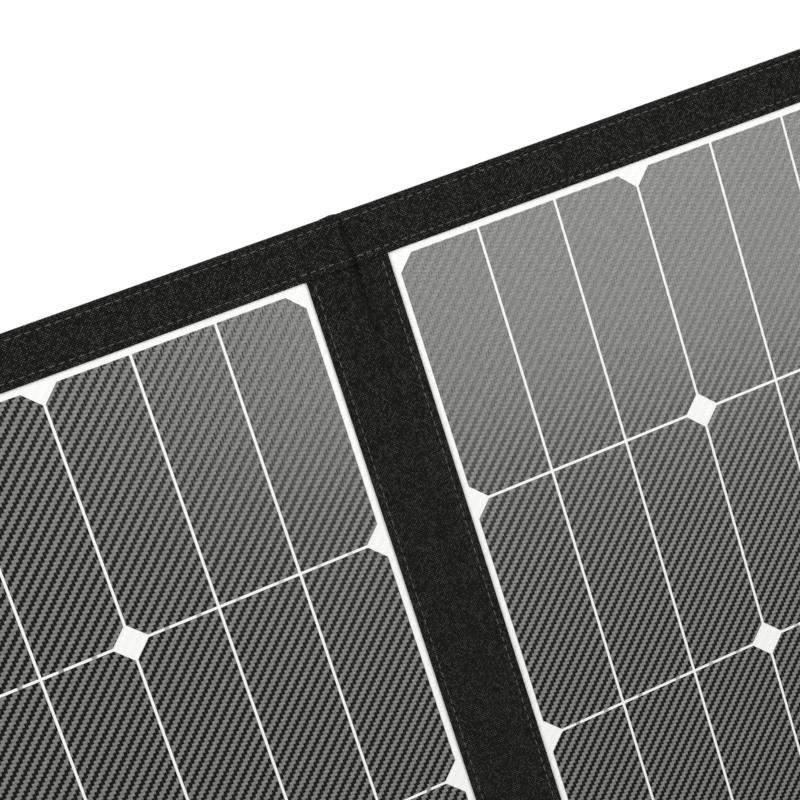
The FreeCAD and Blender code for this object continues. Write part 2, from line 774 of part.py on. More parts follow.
node_types = ("PartDesign::Body", "Part::MultiFuse")
nodes = [item for item in doc.Objects if item.TypeId in node_types]
os.makedirs("parts", exist_ok=True)
for node in nodes:
    if node.Shape.isNull() or not node.Shape.isValid():
        raise SystemExit(f"{node.Label} has no valid shape")
for node in nodes:
    node.Shape.exportStep(f"parts/{node.Label}.step")
    box = node.Shape.BoundBox
    print(
        f"{node.Label:22} solids {len(node.Shape.Solids):3}  volume {node.Shape.Volume:10.1f}  "
        f"x {box.XMin:8.2f} {box.XMax:8.2f}  y {box.YMin:8.2f} {box.YMax:8.2f}  "
        f"z {box.ZMin:6.2f} {box.ZMax:6.2f}"
    )
fold_heights = value("front_fold_height"), value("back_fold_height"), value("front_fold_height")
for number, height in enumerate(fold_heights, start=1):
    line = value(f"({number} - {PANELS / 2}) * {PANEL_PITCH}")
    print(f"fold {number}: line along Y at x {line:.2f}, z {height:.2f}")
print(len(nodes), "nodes, free ends at x", value(END_X))
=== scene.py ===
import json
import math

import bmesh
import bpy
import numpy as np
from mathutils import Matrix, Vector


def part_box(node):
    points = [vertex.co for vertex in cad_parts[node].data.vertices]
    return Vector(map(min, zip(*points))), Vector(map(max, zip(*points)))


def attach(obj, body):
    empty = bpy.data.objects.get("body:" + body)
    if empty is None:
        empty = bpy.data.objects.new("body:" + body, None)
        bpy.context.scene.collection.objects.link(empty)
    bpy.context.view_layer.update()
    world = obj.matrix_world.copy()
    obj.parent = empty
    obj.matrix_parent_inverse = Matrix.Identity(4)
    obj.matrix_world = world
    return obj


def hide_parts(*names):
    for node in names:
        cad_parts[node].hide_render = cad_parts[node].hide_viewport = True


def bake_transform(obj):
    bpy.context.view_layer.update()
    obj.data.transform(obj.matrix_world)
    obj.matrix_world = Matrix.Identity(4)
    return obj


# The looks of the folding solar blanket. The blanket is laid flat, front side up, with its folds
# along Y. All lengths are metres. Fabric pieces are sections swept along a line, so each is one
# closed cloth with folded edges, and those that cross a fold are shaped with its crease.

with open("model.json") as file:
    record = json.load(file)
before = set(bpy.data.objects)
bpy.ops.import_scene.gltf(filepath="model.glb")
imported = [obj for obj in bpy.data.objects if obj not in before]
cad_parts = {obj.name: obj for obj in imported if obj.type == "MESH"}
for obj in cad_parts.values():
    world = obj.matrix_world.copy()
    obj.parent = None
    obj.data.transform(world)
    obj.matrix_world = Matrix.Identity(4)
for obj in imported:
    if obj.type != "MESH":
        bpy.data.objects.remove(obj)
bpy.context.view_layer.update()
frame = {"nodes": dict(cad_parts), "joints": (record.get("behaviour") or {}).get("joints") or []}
MM = 0.001

# ------------------------------------------------------------------------------ places from the CAD
HEM_LOW, HEM_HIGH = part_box("hem_upper_2")
HEM_INNER, OUTER_Y = HEM_LOW.y, HEM_HIGH.y
HEM_WIDTH = OUTER_Y - HEM_INNER
BORDER_LOW, BORDER_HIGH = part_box("end_border_right")
BORDER_INNER, FREE_END = BORDER_LOW.x, BORDER_HIGH.x
BORDER_WIDTH = FREE_END - BORDER_INNER
PITCH = frame["joints"][2]["pos_m"][0]  # the third joint is the right fold
FOLDS = (-PITCH, 0.0, PITCH)
MID_PANEL = PITCH / 2
SPINE_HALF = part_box("spine_left_3")[1].x
FILM_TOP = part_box("clear_frontsheet_2")[1].z
LAMINATE_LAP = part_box("clear_frontsheet_2")[1].y - HEM_INNER
EYELET_LOW, EYELET_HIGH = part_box("eyelets_right")
EYELET_X = 0.5 * (EYELET_LOW.x + EYELET_HIGH.x)
EYELET_Y = EYELET_HIGH.y - 0.5 * (EYELET_HIGH.x - EYELET_LOW.x)
EYELET_ROW = np.linspace(-EYELET_Y, EYELET_Y, 4)
EYELETS = [(x, y) for x in (-EYELET_X, EYELET_X) for y in EYELET_ROW]
PANEL_LOW, PANEL_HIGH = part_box("white_backsheet_4")
PANEL_CENTRE = 0.5 * (PANEL_LOW.x + PANEL_HIGH.x)
ENDS = ((-1, "left", 1), (1, "right", 4))  # the free ends: which way, its name, its panel

# cloth
HAIR = 0.02 * MM  # the gap between things that lie on each other
CLOTH = 0.7 * MM
THIN_CLOTH = 0.26 * MM
LAP_TOP = FILM_TOP + HAIR + CLOTH
FLAT_TOP = 3.0 * MM
PRESSED_TOP = 2.25 * MM
PRESS_RADII = (10.6 * MM, 15.5 * MM)  # the cloth rises from under an eyelet between these
HOLE_REACH = 6.2 * MM
EDGE_TURN = 1.3 * MM  # radii of the upper and lower bends where a strip turns round the edge
UNDER_TURN = 1.0 * MM
SPINE_TUCK = 4 * MM  # how far the spine and the end border run under the hems
BORDER_TUCK = 5 * MM
BACK_INSET = 1.6 * MM  # the back cover stops this far inside the edge
VALLEY_REACH = 5.7 * MM  # half the length over which the cloth bends at a fold
MOUNTAIN_REACH = 3.9 * MM
MIN_STEP = 0.25 * MM
SHARP_ANGLE = 42
PLATE_ANGLE = 50

# the middle fold's bumps: centre, width and height of each
CREASE = (
    (-0.4 * MM, 4.0 * MM, 2.3 * MM),  # the pinched ridge
    (4.5 * MM, 1.3 * MM, -2.55 * MM),  # the sharp valley on its right
    (7.4 * MM, 2.0 * MM, 0.9 * MM),  # the valley's far shoulder
    (-2.0 * MM, 0.7 * MM, -0.7 * MM),  # two wrinkles on the left
    (-5.6 * MM, 0.9 * MM, -1.1 * MM),
)
TROUGH_WIDTH, TROUGH_DEPTH = 2.4 * MM, 0.8 * MM
GROOVE_WIDTH, GROOVE_DEPTH = 0.8 * MM, 0.22 * MM
WAVE_HEIGHT = 0.09 * MM

# stitches
HEM_STITCHES = (3.6 * MM, HEM_WIDTH - 3.5 * MM)
BORDER_STITCHES = (3.6 * MM, BORDER_WIDTH - 3.5 * MM)
SPINE_STITCH = SPINE_HALF - 3.6 * MM
STITCH_PITCH = 4.7 * MM
STITCH_LENGTH = 3.1 * MM
STITCH_WIDTH = 0.62 * MM
STITCH_HEIGHT = 0.28 * MM
STITCH_SINK = 0.03 * MM
BACK_STITCH_Z = 0.05 * MM
ROW_END = 2 * MM  # a row of stitches stops this far before the hem, or before the free end
HEM_ROW_END = 2.5 * MM


def smooth(low, high, x):
    t = np.clip((np.asarray(x, float) - low) / (high - low), 0, 1)
    return t * t * (3 - 2 * t)


def bell(x, centre, width):
    return np.exp(-(((np.asarray(x, float) - centre) / width) ** 2))


# ------------------------------------------------------------------------------ shapes of the cloth
def crease(x, strength):
    """Height that the middle fold adds, which closes on the back."""
    return strength * sum(bell(x, centre, width) * height for centre, width, height in CREASE)


def trough(x, centre, strength):
    """Height that a fold which closes on the front takes away."""
    return -strength * bell(x, centre, TROUGH_WIDTH) * TROUGH_DEPTH


def fold_height(x, strength):
    return crease(x, strength) + trough(x, FOLDS[0], strength) + trough(x, FOLDS[2], strength)


def waviness(x, y):
    """Slow unevenness of stretched cloth."""
    wave = np.sin(x * 61 + 1.3) * np.sin(y * 47 + x * 9) + 0.6 * np.sin(x * 143 + y * 121)
    return wave * WAVE_HEIGHT


def eyelet_dimple(x, y):
    """1 where the cloth is pressed down under an eyelet, 0 away from it."""
    depth = np.zeros(np.broadcast(x, y).shape)
    for ex, ey in EYELETS:
        depth = np.maximum(depth, 1 - smooth(*PRESS_RADII, np.hypot(x - ex, y - ey)))
    return depth


def pressed(height, x, y):
    press = eyelet_dimple(x, y)
    return height * (1 - press) + PRESSED_TOP * press


def border_top(across):
    """Height of a strip's top at a distance from the window: over the panel's edge, then down."""
    fall = smooth(LAMINATE_LAP + 0.5 * MM, LAMINATE_LAP + 8 * MM, across)
    return LAP_TOP + (FLAT_TOP - LAP_TOP) * fall


def groove(across, rows):
    """Height that the rows of stitches pull down."""
    return -sum(bell(across, row, GROOVE_WIDTH) for row in rows) * GROOVE_DEPTH


def hem_top(x, across):
    x, across = np.broadcast_arrays(np.asarray(x, float), np.asarray(across, float))
    y = HEM_INNER + across
    height = border_top(across) + groove(across, HEM_STITCHES) + waviness(x, y)
    height = height + fold_height(x, 1.0 - 0.25 * smooth(0, HEM_WIDTH, across))
    # the hem rises over the ends of the spines and of the end borders that are tucked under it
    for centre in FOLDS:
        over = 1 - smooth(SPINE_HALF, SPINE_HALF + 2.5 * MM, np.abs(x - centre))
        height = height + over * (1 - smooth(5 * MM, 10 * MM, across)) * 0.9 * MM
    over = smooth(BORDER_INNER - 2.5 * MM, BORDER_INNER, np.abs(x))
    height = height + over * (1 - smooth(7 * MM, 12 * MM, across)) * 0.6 * MM
    return pressed(height, x, y)


def spine_top(x, y, centre):
    x, y = np.broadcast_arrays(np.asarray(x, float), np.asarray(y, float))
    across = SPINE_HALF - np.abs(x - centre)
    height = border_top(across) + groove(across, (SPINE_HALF - SPINE_STITCH,)) + waviness(x, y)
    near_hem = smooth(HEM_INNER - 90 * MM, HEM_INNER, np.abs(y))
    if centre == 0.0:
        spread = 1 + 0.5 * (1 - near_hem)
        return height + crease(x / spread, 0.36 + 0.64 * near_hem**1.5)
    return height + trough(x, centre, 0.5 + 0.5 * near_hem)


def border_height(y, across, hand):
    y, across = np.broadcast_arrays(np.asarray(y, float), np.asarray(across, float))
    x = hand * (BORDER_INNER + across)
    height = border_top(across) + groove(across, BORDER_STITCHES) + waviness(x, y)
    return pressed(height, x, y)


# ------------------------------------------------------------------------------------ mesh builders
def new_object(name, vertices, faces, uvs=None, smooth_shade=True):
    mesh = bpy.data.meshes.new(name)
    mesh.from_pydata([tuple(v) for v in vertices], [], faces)
    mesh.update()
    if uvs is not None:
        layer = mesh.uv_layers.new(name="cloth")
        loops = np.array([uvs[loop.vertex_index] for loop in mesh.loops], np.float32)
        layer.data.foreach_set("uv", loops.ravel())
    if smooth_shade:
        mesh.polygons.foreach_set("use_smooth", [True] * len(mesh.polygons))
    obj = bpy.data.objects.new(name, mesh)
    bpy.context.scene.collection.objects.link(obj)
    return obj


def outward(obj):
    bm = bmesh.new()
    bm.from_mesh(obj.data)
    bmesh.ops.recalc_face_normals(bm, faces=bm.faces)
    bm.to_mesh(obj.data)
    bm.free()
    return obj


def swept(name, stations, section, closed=True):
    """A section swept along stations. section(station) gives its points as rows of x, y, z."""
    rings = [np.asarray(section(s), float) for s in stations]
    count = len(rings[0])
    vertices = np.concatenate(rings)
    first = rings[len(rings) // 2]
    steps = np.linalg.norm(np.diff(first, axis=0), axis=1)
    around = np.concatenate([[0], np.cumsum(steps)])
    uvs = [(s, a) for s in stations for a in around]
    faces = []
    for i in range(len(rings) - 1):
        for j in range(count if closed else count - 1):
            k = (j + 1) % count
            faces.append((i * count + j, i * count + k, (i + 1) * count + k, (i + 1) * count + j))
    if closed:
        faces.append(tuple(range(count)))
        faces.append(tuple((len(rings) - 1) * count + j for j in reversed(range(count))))
    obj = outward(new_object(name, vertices, faces, uvs))
    return sharpen(obj, SHARP_ANGLE)


def sharpen(obj, degrees):
    """Keep the shading crisp over edges sharper than the angle."""
    bm = bmesh.new()
    bm.from_mesh(obj.data)
    limit = math.radians(degrees)
    for edge in bm.edges:
        edge.smooth = not (len(edge.link_faces) == 2 and edge.calc_face_angle(0) > limit)
    bm.to_mesh(obj.data)
    bm.free()
    return obj


def stations_between(low, high, step, fine_at=(), fine_half=14 * MM, fine_step=0.8 * MM, ends=()):
    """Places along a line, close together near the points in fine_at and at the listed ends."""
    places = list(np.arange(low, high, step)) + [high]
    for centre in fine_at:
        if low <= centre <= high:
            near, far = max(low, centre - fine_half), min(high, centre + fine_half)
            places += list(np.arange(near, far, fine_step))
    for end in ends:
        for back in (0.4, 0.9, 1.6, 2.6):
            places.append(end - math.copysign(back * MM, end))
    places = np.array(sorted(places))
    keep = [places[0]]
    for p in places[1:]:
        if p - keep[-1] > MIN_STEP:
            keep.append(p)
    keep[-1] = high
    return keep


# --------------------------------------------------------------------------------------- the fabric
def wrapped_section(across, top, outer, closing=0.0):
    """A strip that laps the window's edge, runs to the outer edge, turns round it and under.

    Returns rows of distance and height. closing goes from 0 to 1 where the strip's end is shut."""
    outside = [(across[0] + 0.15 * MM, FILM_TOP + HAIR), (across[0], top[0] - 0.35 * MM)]
    outside += [(across[0] + 0.3 * MM, top[0] - 0.04 * MM)]
    outside += list(zip(across[1:], top[1:]))
    for a in np.radians((20, 45, 70, 90)):
        drop = EDGE_TURN * (1 - math.cos(a))
        outside.append((outer - EDGE_TURN + EDGE_TURN * math.sin(a), top[-1] - drop))
    for a in np.radians((0, 30, 60, 90)):
        rise = UNDER_TURN * (1 - math.sin(a))
        outside.append((outer - UNDER_TURN * (1 - math.cos(a)), HAIR + rise))
    outside += [(0.6 * outer, HAIR), (3 * MM, HAIR), (2.8 * MM, HAIR + THIN_CLOTH)]
    points = np.array(outside)
    middle = 1.1 * MM
    points[:, 1] = middle + (points[:, 1] - middle) * (1 - 0.85 * closing)
    return points


def hem(name, low_x, high_x, hand, fold):
    """A hem strip along X at the upper (+1) or lower (-1) edge."""
    across = [0, 1.2, 2.6, 3.6, 4.6, 6.5, 8.5, 11, 13.5, 16, 18.5, 20.5, 21.5, 22.5]
    across = np.array(across) * MM
    across = across[across < HEM_WIDTH - 1.4 * MM]
    ends = [x for x in (low_x, high_x) if abs(x) > BORDER_INNER]
    places = stations_between(low_x, high_x, 4 * MM, [fold], ends=ends)
    for end in ends:
        eyelet = math.copysign(EYELET_X, end)
        places += list(np.arange(eyelet - 16 * MM, eyelet + 13 * MM, 1.6 * MM))
    places = sorted(set(round(float(p), 7) for p in places if low_x <= p <= high_x))

    def section(x):
        bulge = crease(x, 1.0) * 0.25 if fold == 0.0 else 0.0
        closing = 0.0
        for end in ends:
            closing = max(closing, float(1 - smooth(0, 1.6 * MM, abs(x - end))))
        points = wrapped_section(across, hem_top(x, across), HEM_WIDTH + max(bulge, 0), closing)
        y = hand * (HEM_INNER + points[:, 0])
        return np.column_stack([np.full(len(points), x), y, points[:, 1]])

    return swept(name, places, section, closed=False)


def spine(name, centre):
    """The strip along a fold, tucked under both hems."""
    offsets = [21, 20.7, 19.6, 18.4, 17.4, 16.4, 14.5, 12.5, 10.5, 9, 8, 7, 6.2]
    offsets += [5.4, 4.8, 4.2, 3.6, 3, 2.4, 1.8, 1.2, 0.6]
    offsets = np.array([-o for o in offsets] + [0] + offsets[::-1]) * MM
    under = np.array([o for o in offsets[::-1] if abs(o) < 20.9 * MM])
    places = stations_between(-HEM_INNER - SPINE_TUCK, HEM_INNER + SPINE_TUCK, 4 * MM)

    def section(y):
        top = spine_top(centre + offsets, y, centre)
        top[0] = top[-1] = LAP_TOP - 0.35 * MM
        low = spine_top(centre + under, y, centre) - CLOTH
        low[0] = low[-1] = FILM_TOP + HAIR
        xs = np.concatenate([centre + offsets, centre + under])
        zs = np.concatenate([top, low])
        return np.column_stack([xs, np.full(len(xs), y), zs])

    return swept(name, places, section)


def end_border(name, hand):
    """The strip along a free end, turned round its edge and tucked under both hems."""
    across = [0, 1.2, 2.6, 3.6, 4.6, 6.5, 8.5, 11, 13.5, 16, 18, 20, 22, 24, 26, 28, 30, 32, 34]
    across = np.array(across + [35.5, 36.5, 37.5]) * MM
    holes = [y for y in EYELET_ROW if abs(y) < HEM_INNER]
    reach = HEM_INNER + BORDER_TUCK
    places = stations_between(-reach, reach, 4 * MM, holes, 16 * MM, 1.6 * MM)

    def section(y):
        points = wrapped_section(across, border_height(y, across, hand), BORDER_WIDTH)
        x = hand * (BORDER_INNER + points[:, 0])
        return np.column_stack([x, np.full(len(points), y), points[:, 1]])

    return swept(name, places, section, closed=False)


def back_cover(name, low_x, high_x, fold):
    """The cloth that the whole blanket lies on, with its mesh finer round the eyelets."""
    low_x, high_x = max(low_x, BACK_INSET - FREE_END), min(high_x, FREE_END - BACK_INSET)
    around = np.arange(-10, 11, 2) * MM
    places = stations_between(low_x, high_x, 20 * MM, [fold], 9 * MM, 0.9 * MM)
    for x in (-EYELET_X, EYELET_X):
        places += [x + off for off in around if low_x < x + off < high_x]
    ys = list(np.linspace(BACK_INSET - OUTER_Y, OUTER_Y - BACK_INSET, 29))
    ys = np.array(sorted(ys + [y + off for y in EYELET_ROW for off in around]))
    low = HAIR + THIN_CLOTH + HAIR

    def section(x):
        top = np.column_stack([np.full(len(ys), x), ys, np.full(len(ys), low + THIN_CLOTH)])
        under = np.column_stack([np.full(len(ys), x), ys[::-1], np.full(len(ys), low)])
        return np.concatenate([top, under])

    return swept(name, sorted(places), section)


def open_eyelet_holes(obj):
    """Open the cloth under the eyelets' flanges, so that their bores stay clear."""
    bm = bmesh.new()
    bm.from_mesh(obj.data)
    hit = []
    for face in bm.faces:
        for x, y in EYELETS:
            if min(math.hypot(v.co.x - x, v.co.y - y) for v in face.verts) < HOLE_REACH:
                hit.append(face)
                break
    bmesh.ops.delete(bm, geom=hit, context="FACES")
    bm.to_mesh(obj.data)
    bm.free()
    return obj


# ---------------------------------------------------------------------------------------- stitching
class Thread:
    """Stitches collected into one mesh."""

    def __init__(self):
        self.vertices = []
        self.faces = []

    def stitch(self, centre, along, up):
        """One short raised stitch at a point, lying along a direction."""
        centre, along, up = (np.asarray(v, float) for v in (centre, along, up))
        side = np.cross(up, along)
        start = len(self.vertices)
        for place, lift in ((-0.5, 0.0), (-0.3, 0.85), (0.3, 0.85), (0.5, 0.0)):
            for out, rise in ((-0.5, -0.15), (0.0, 1.0), (0.5, -0.15)):
                width = STITCH_WIDTH * (1.0 if lift else 0.45)
                point = centre + along * place * STITCH_LENGTH + side * out * width
                self.vertices.append(point + up * (rise * lift * STITCH_HEIGHT - STITCH_SINK))
        for i in range(3):
            for j in range(2):
                a = start + 3 * i + j
                self.faces.append((a, a + 3, a + 4, a + 1))

    def row(self, start, end, height, up=(0, 0, 1), skip=None):
        """Stitches from start to end in the ground plane, on the surface height(x, y)."""
        start, end = np.asarray(start, float), np.asarray(end, float)
        length = np.linalg.norm(end - start)
        count = max(1, int(length / STITCH_PITCH))
        flat = (end - start) / length
        for i in range(count):
            place = start + flat * (i + 0.5) * length / count
            if skip is not None and skip(*place):
                continue
            ahead, behind = place + flat * 0.7 * MM, place - flat * 0.7 * MM
            rise = (float(height(*ahead)) - float(height(*behind))) / (1.4 * MM)
            along = np.array([flat[0], flat[1], rise])
            along /= np.linalg.norm(along)
            normal = np.cross(np.cross(along, up), along)
            normal /= np.linalg.norm(normal)
            self.stitch((place[0], place[1], float(height(*place))), along, normal)

    def follow(self, points, across=(1, 0, 0), up=None):
        """Stitches along a line of points. Their up side is across x along, unless up is given."""
        points = np.asarray(points, float)
        lengths = np.linalg.norm(np.diff(points, axis=0), axis=1)
        reached = np.concatenate([[0], np.cumsum(lengths)])
        count = max(1, int(reached[-1] / STITCH_PITCH))

        def at(distance):
            return np.array([np.interp(distance, reached, points[:, axis]) for axis in range(3)])

        for i in range(count):
            middle = (i + 0.5) * reached[-1] / count
            along = at(middle + 0.5 * MM) - at(middle - 0.5 * MM)
            along /= np.linalg.norm(along)
            normal = np.cross(across, along) if up is None else np.array(up, float)
            normal = normal - along * np.dot(normal, along)
            self.stitch(at(middle), along, normal / np.linalg.norm(normal))

    def make(self, name):
        obj = new_object(name, self.vertices, self.faces)
        dress(obj, THREAD)
        return obj


def under_eyelet(x, y):
    return float(eyelet_dimple(x, y)) > 0.6


def under_sheet(x, y):
    return BACK_STITCH_Z


def stitch_stretch(name, low_x, high_x, fold):
    """All the front and back stitching between two places along the blanket."""
    thread = Thread()

    def both_faces(start, end, height):
        thread.row(start, end, height, skip=under_eyelet)
        thread.row(start, end, under_sheet, up=(0, 0, -1), skip=under_eyelet)

    start_x = low_x + HEM_ROW_END * (low_x < -BORDER_INNER)
    end_x = high_x - HEM_ROW_END * (high_x > BORDER_INNER)
    low_y, high_y = ROW_END - HEM_INNER, HEM_INNER - ROW_END
    for hand in (1, -1):
        for row in HEM_STITCHES:
            y = hand * (HEM_INNER + row)
            both_faces((start_x, y), (end_x, y), lambda x, y: hem_top(x, abs(y) - HEM_INNER))
    for side in (-1, 1):
        x = fold + side * SPINE_STITCH
        thread.row((x, low_y), (x, high_y), lambda x, y: spine_top(x, y, fold))
    for hand, here in ((-1, low_x < -BORDER_INNER), (1, high_x > BORDER_INNER)):
        for row in BORDER_STITCHES if here else ():
            x = hand * (BORDER_INNER + row)
            both_faces(
                (x, low_y),
                (x, high_y),
                lambda x, y: border_height(y, abs(x) - BORDER_INNER, hand),
            )
    return thread.make(name)


# ---------------------------------------------------------------------------------------- materials
class Nodes:
    """A small helper that writes a material's node tree."""

    def __init__(self, name):
        self.material = bpy.data.materials.new(name)
        self.material.use_nodes = True
        self.tree = self.material.node_tree
        self.bsdf = self.tree.nodes["Principled BSDF"]

    def add(self, kind, **settings):
        node = self.tree.nodes.new(kind)
        for key, value in settings.items():
            setattr(node, key, value)
        return node

    def feed(self, socket, value):
        """Give a socket a number, a colour or another node's output."""
        if isinstance(value, tuple):
            socket.default_value = (*value, 1)
        elif isinstance(value, (int, float)):
            socket.default_value = value
        else:
            self.tree.links.new(value, socket)

    def set(self, **values):
        """Feed the surface's inputs, which are named here with _ for a space."""
        for name, value in values.items():
            self.feed(self.bsdf.inputs[name.replace("_", " ")], value)

    def math(self, operation, *values):
        node = self.add("ShaderNodeMath", operation=operation)
        for socket, value in zip(node.inputs, values):
            self.feed(socket, value)
        return node.outputs[0]

    def times(self, a, b):
        return self.math("MULTIPLY", a, b)

    def scaled(self, value, factor, offset):
        return self.math("MULTIPLY_ADD", value, factor, offset)

    def hump(self, value):
        """Half a sine over each whole step of a value: the round back of a thread."""
        return self.math("SINE", self.times(self.math("FRACT", value), math.pi))

    def mix(self, factor, a, b):
        node = self.add("ShaderNodeMix", data_type="RGBA")
        for name, value in (("Factor", factor), ("A", a), ("B", b)):
            self.feed([s for s in node.inputs if s.name == name and s.enabled][0], value)
        return [s for s in node.outputs if s.enabled][0]

    def coordinates(self, uv=False):
        """A place on the piece, whole and as its first two numbers."""
        source = self.add("ShaderNodeTexCoord").outputs["UV" if uv else "Object"]
        split = self.add("ShaderNodeSeparateXYZ")
        self.feed(split.inputs[0], source)
        return source, split.outputs[0], split.outputs[1]

    def noise(self, vector, scale, detail=3.0, roughness=0.6):
        node = self.add("ShaderNodeTexNoise")
        self.feed(node.inputs["Vector"], vector)
        self.feed(node.inputs["Scale"], scale)
        self.feed(node.inputs["Detail"], detail)
        self.feed(node.inputs["Roughness"], roughness)
        return node.outputs[0]

    def bump(self, height, distance, strength=1.0, normal=None):
        node = self.add("ShaderNodeBump")
        self.feed(node.inputs["Distance"], distance)
        self.feed(node.inputs["Strength"], strength)
        self.feed(node.inputs["Height"], height)
        if normal is not None:
            self.feed(node.inputs["Normal"], normal)
        return node.outputs[0]


TWILL_PITCH = 1.55 * MM
BORDER_PITCH = 0.68 * MM
BACK_PITCH = 0.8 * MM
WEBBING_PITCH = 1.1 * MM


def weave(nodes, u, v, pitch):
    """Height of a plain weave, which thread is on top, and an uneven tone for each crossing."""
    across, along = nodes.times(u, 1 / pitch), nodes.times(v, 1 / pitch)
    cell_u, cell_v = nodes.math("FLOOR", across), nodes.math("FLOOR", along)
    odd = nodes.math("FLOORED_MODULO", nodes.math("ADD", cell_u, cell_v), 2.0)
    round_u, round_v = nodes.hump(across), nodes.hump(along)
    warp = nodes.times(round_u, nodes.scaled(round_v, 0.6, 0.4))
    weft = nodes.times(round_v, nodes.scaled(round_u, 0.6, 0.4))
    height = nodes.scaled(nodes.math("SUBTRACT", weft, warp), odd, warp)
    crossing = nodes.add("ShaderNodeCombineXYZ")
    nodes.feed(crossing.inputs[0], cell_u)
    nodes.feed(crossing.inputs[1], cell_v)
    uneven = nodes.add("ShaderNodeTexWhiteNoise", noise_dimensions="2D")
    nodes.feed(uneven.inputs["Vector"], crossing.outputs[0])
    return height, odd, uneven.outputs["Value"]


def twill(nodes, x, y):
    """The film's embossed two-by-two twill: where a yarn lies across, and the height of it."""
    across, along = nodes.times(x, 1 / TWILL_PITCH), nodes.times(y, 1 / TWILL_PITCH)
    step = nodes.math("SUBTRACT", nodes.math("FLOOR", across), nodes.math("FLOOR", along))
    flat = nodes.math("LESS_THAN", nodes.math("FLOORED_MODULO", step, 4.0), 2.0)
    round_x, round_y = nodes.hump(across), nodes.hump(along)
    return flat, nodes.scaled(nodes.math("SUBTRACT", round_y, round_x), flat, round_x)


def cloth_material(name, dark, light, pitch):
    """Coarse cloth. Its colour is painted lighter on the threads' tops and dark between them as
    painted shade, and lighter on the threads of one direction as painted sheen, each crossing by
    its own amount.
    """
    nodes = Nodes(name)
    vector, u, v = nodes.coordinates(uv=True)
    height, odd, uneven = weave(nodes, u, v, pitch)
    blotch = nodes.noise(vector, 90, 4)
    # painted shade and sheen: the colour follows the threads' height and is lighter on one
    # direction's threads; the crossings and blotches vary in tone at random
    shade = nodes.times(height, nodes.scaled(odd, 0.92, 0.08))
    shade = nodes.times(shade, nodes.scaled(nodes.math("POWER", uneven, 2.2), 1.2, 0.22))
    shade = nodes.times(shade, nodes.scaled(blotch, 0.8, 0.6))
    nodes.set(
        Base_Color=nodes.mix(shade, dark, light),
        Roughness=nodes.scaled(shade, -0.65, 0.95),
        Normal=nodes.bump(height, 0.09 * MM, 0.9, nodes.bump(blotch, 0.5 * MM, 0.5)),
        Sheen_Weight=0.02,
        Sheen_Roughness=0.5,
        IOR=1.21,
    )
    return nodes.material


def webbing_material():
    nodes = Nodes("ribbed_webbing")
    vector, u, v = nodes.coordinates(uv=True)
    height, odd, uneven = weave(nodes, u, v, WEBBING_PITCH)
    # painted shade: the colour follows the threads' height, darker in the gaps between them, and
    # varies at random with a fine noise
    shade = nodes.times(height, nodes.scaled(nodes.noise(vector, 1700, 2), 0.8, 0.4))
    nodes.set(
        Base_Color=nodes.mix(shade, (0.001, 0.001, 0.0011), (0.026, 0.0265, 0.027)),
        Roughness=0.6,
        Normal=nodes.bump(height, 0.25 * MM, 0.9),
        Sheen_Weight=0.03,
        IOR=1.25,
    )
    return nodes.material


def cell_material():
    """A dark cell under the embossed film. The yarns lying across are painted light as a painted
    highlight, and painted darker towards their edges as painted shade.
    """
    nodes = Nodes("cell_under_embossed_film")
    vector, x, y = nodes.coordinates()
    flat, height = twill(nodes, x, y)
    full = nodes.math("POWER", height, 0.28)
    # painted highlight: the light that the yarns lying across catch is painted into their colour,
    # with a random tone
    lit = nodes.mix(nodes.noise(vector, 900, 3), (0.08, 0.08, 0.077), (0.32, 0.32, 0.305))
    # painted shade: these yarns are painted darker towards their edges
    lit = nodes.mix(full, (0.02, 0.02, 0.02), lit)
    dark = nodes.mix(nodes.noise(vector, 9, 2), (0.0012, 0.0012, 0.0013), (0.003, 0.003, 0.003))
    nodes.set(
        Base_Color=nodes.mix(flat, dark, lit),
        Roughness=nodes.scaled(full, -0.34, nodes.scaled(flat, 0.22, 0.5)),
        Normal=nodes.bump(height, 0.045 * MM, 0.5),
        IOR=1.7,
    )
    return nodes.material


def backsheet_material():
    nodes = Nodes("white_backsheet_film")
    vector, x, y = nodes.coordinates()
    flat, height = twill(nodes, x, y)
    # painted highlight: the yarns lying across are painted a little lighter than the rest
    shade = nodes.scaled(flat, 0.5, 0.25)
    nodes.set(
        Base_Color=nodes.mix(shade, (0.88, 0.89, 0.885), (0.95, 0.955, 0.95)),
        Roughness=0.5,
        Normal=nodes.bump(height, 0.06 * MM, 0.5),
    )
    return nodes.material


def plain_material(name, **values):
    nodes = Nodes(name)
    nodes.set(**values)
    return nodes.material


def fuzzy_material(name, dark, light, rough, scale, detail, grain, depth):
    """Thread or tape: two tones and a bump from one fine noise."""
    nodes = Nodes(name)
    vector, x, y = nodes.coordinates()
    fibre = nodes.noise(vector, scale, detail, grain)
    colour = nodes.mix(fibre, dark, light)
    nodes.set(Base_Color=colour, Roughness=rough, Normal=nodes.bump(fibre, depth))
    return nodes.material


def metal_material(name, colour, rough, grain=500):
    nodes = Nodes(name)
    vector, x, y = nodes.coordinates()
    wear = nodes.noise(vector, grain, 4)
    nodes.set(
        Base_Color=nodes.mix(wear, tuple(0.72 * c for c in colour), colour),
        Roughness=nodes.scaled(wear, 0.25, rough - 0.1),
        Normal=nodes.bump(wear, 0.03 * MM, 0.4),
        Metallic=1.0,
    )
    return nodes.material


def plastic_material(name, colour, rough, grain=1500):
    nodes = Nodes(name)
    vector, x, y = nodes.coordinates()
    slow = nodes.noise(vector, 40, 3)
    light = tuple(min(1.0, 1.35 * c + 0.004) for c in colour)
    nodes.set(
        Base_Color=nodes.mix(slow, colour, light),
        Roughness=nodes.scaled(slow, 0.16, rough - 0.08),
        Normal=nodes.bump(nodes.noise(vector, grain, 3), 0.05 * MM, 0.7),
    )
    return nodes.material


def dress(obj, material):
    obj.data.materials.clear()
    obj.data.materials.append(material)


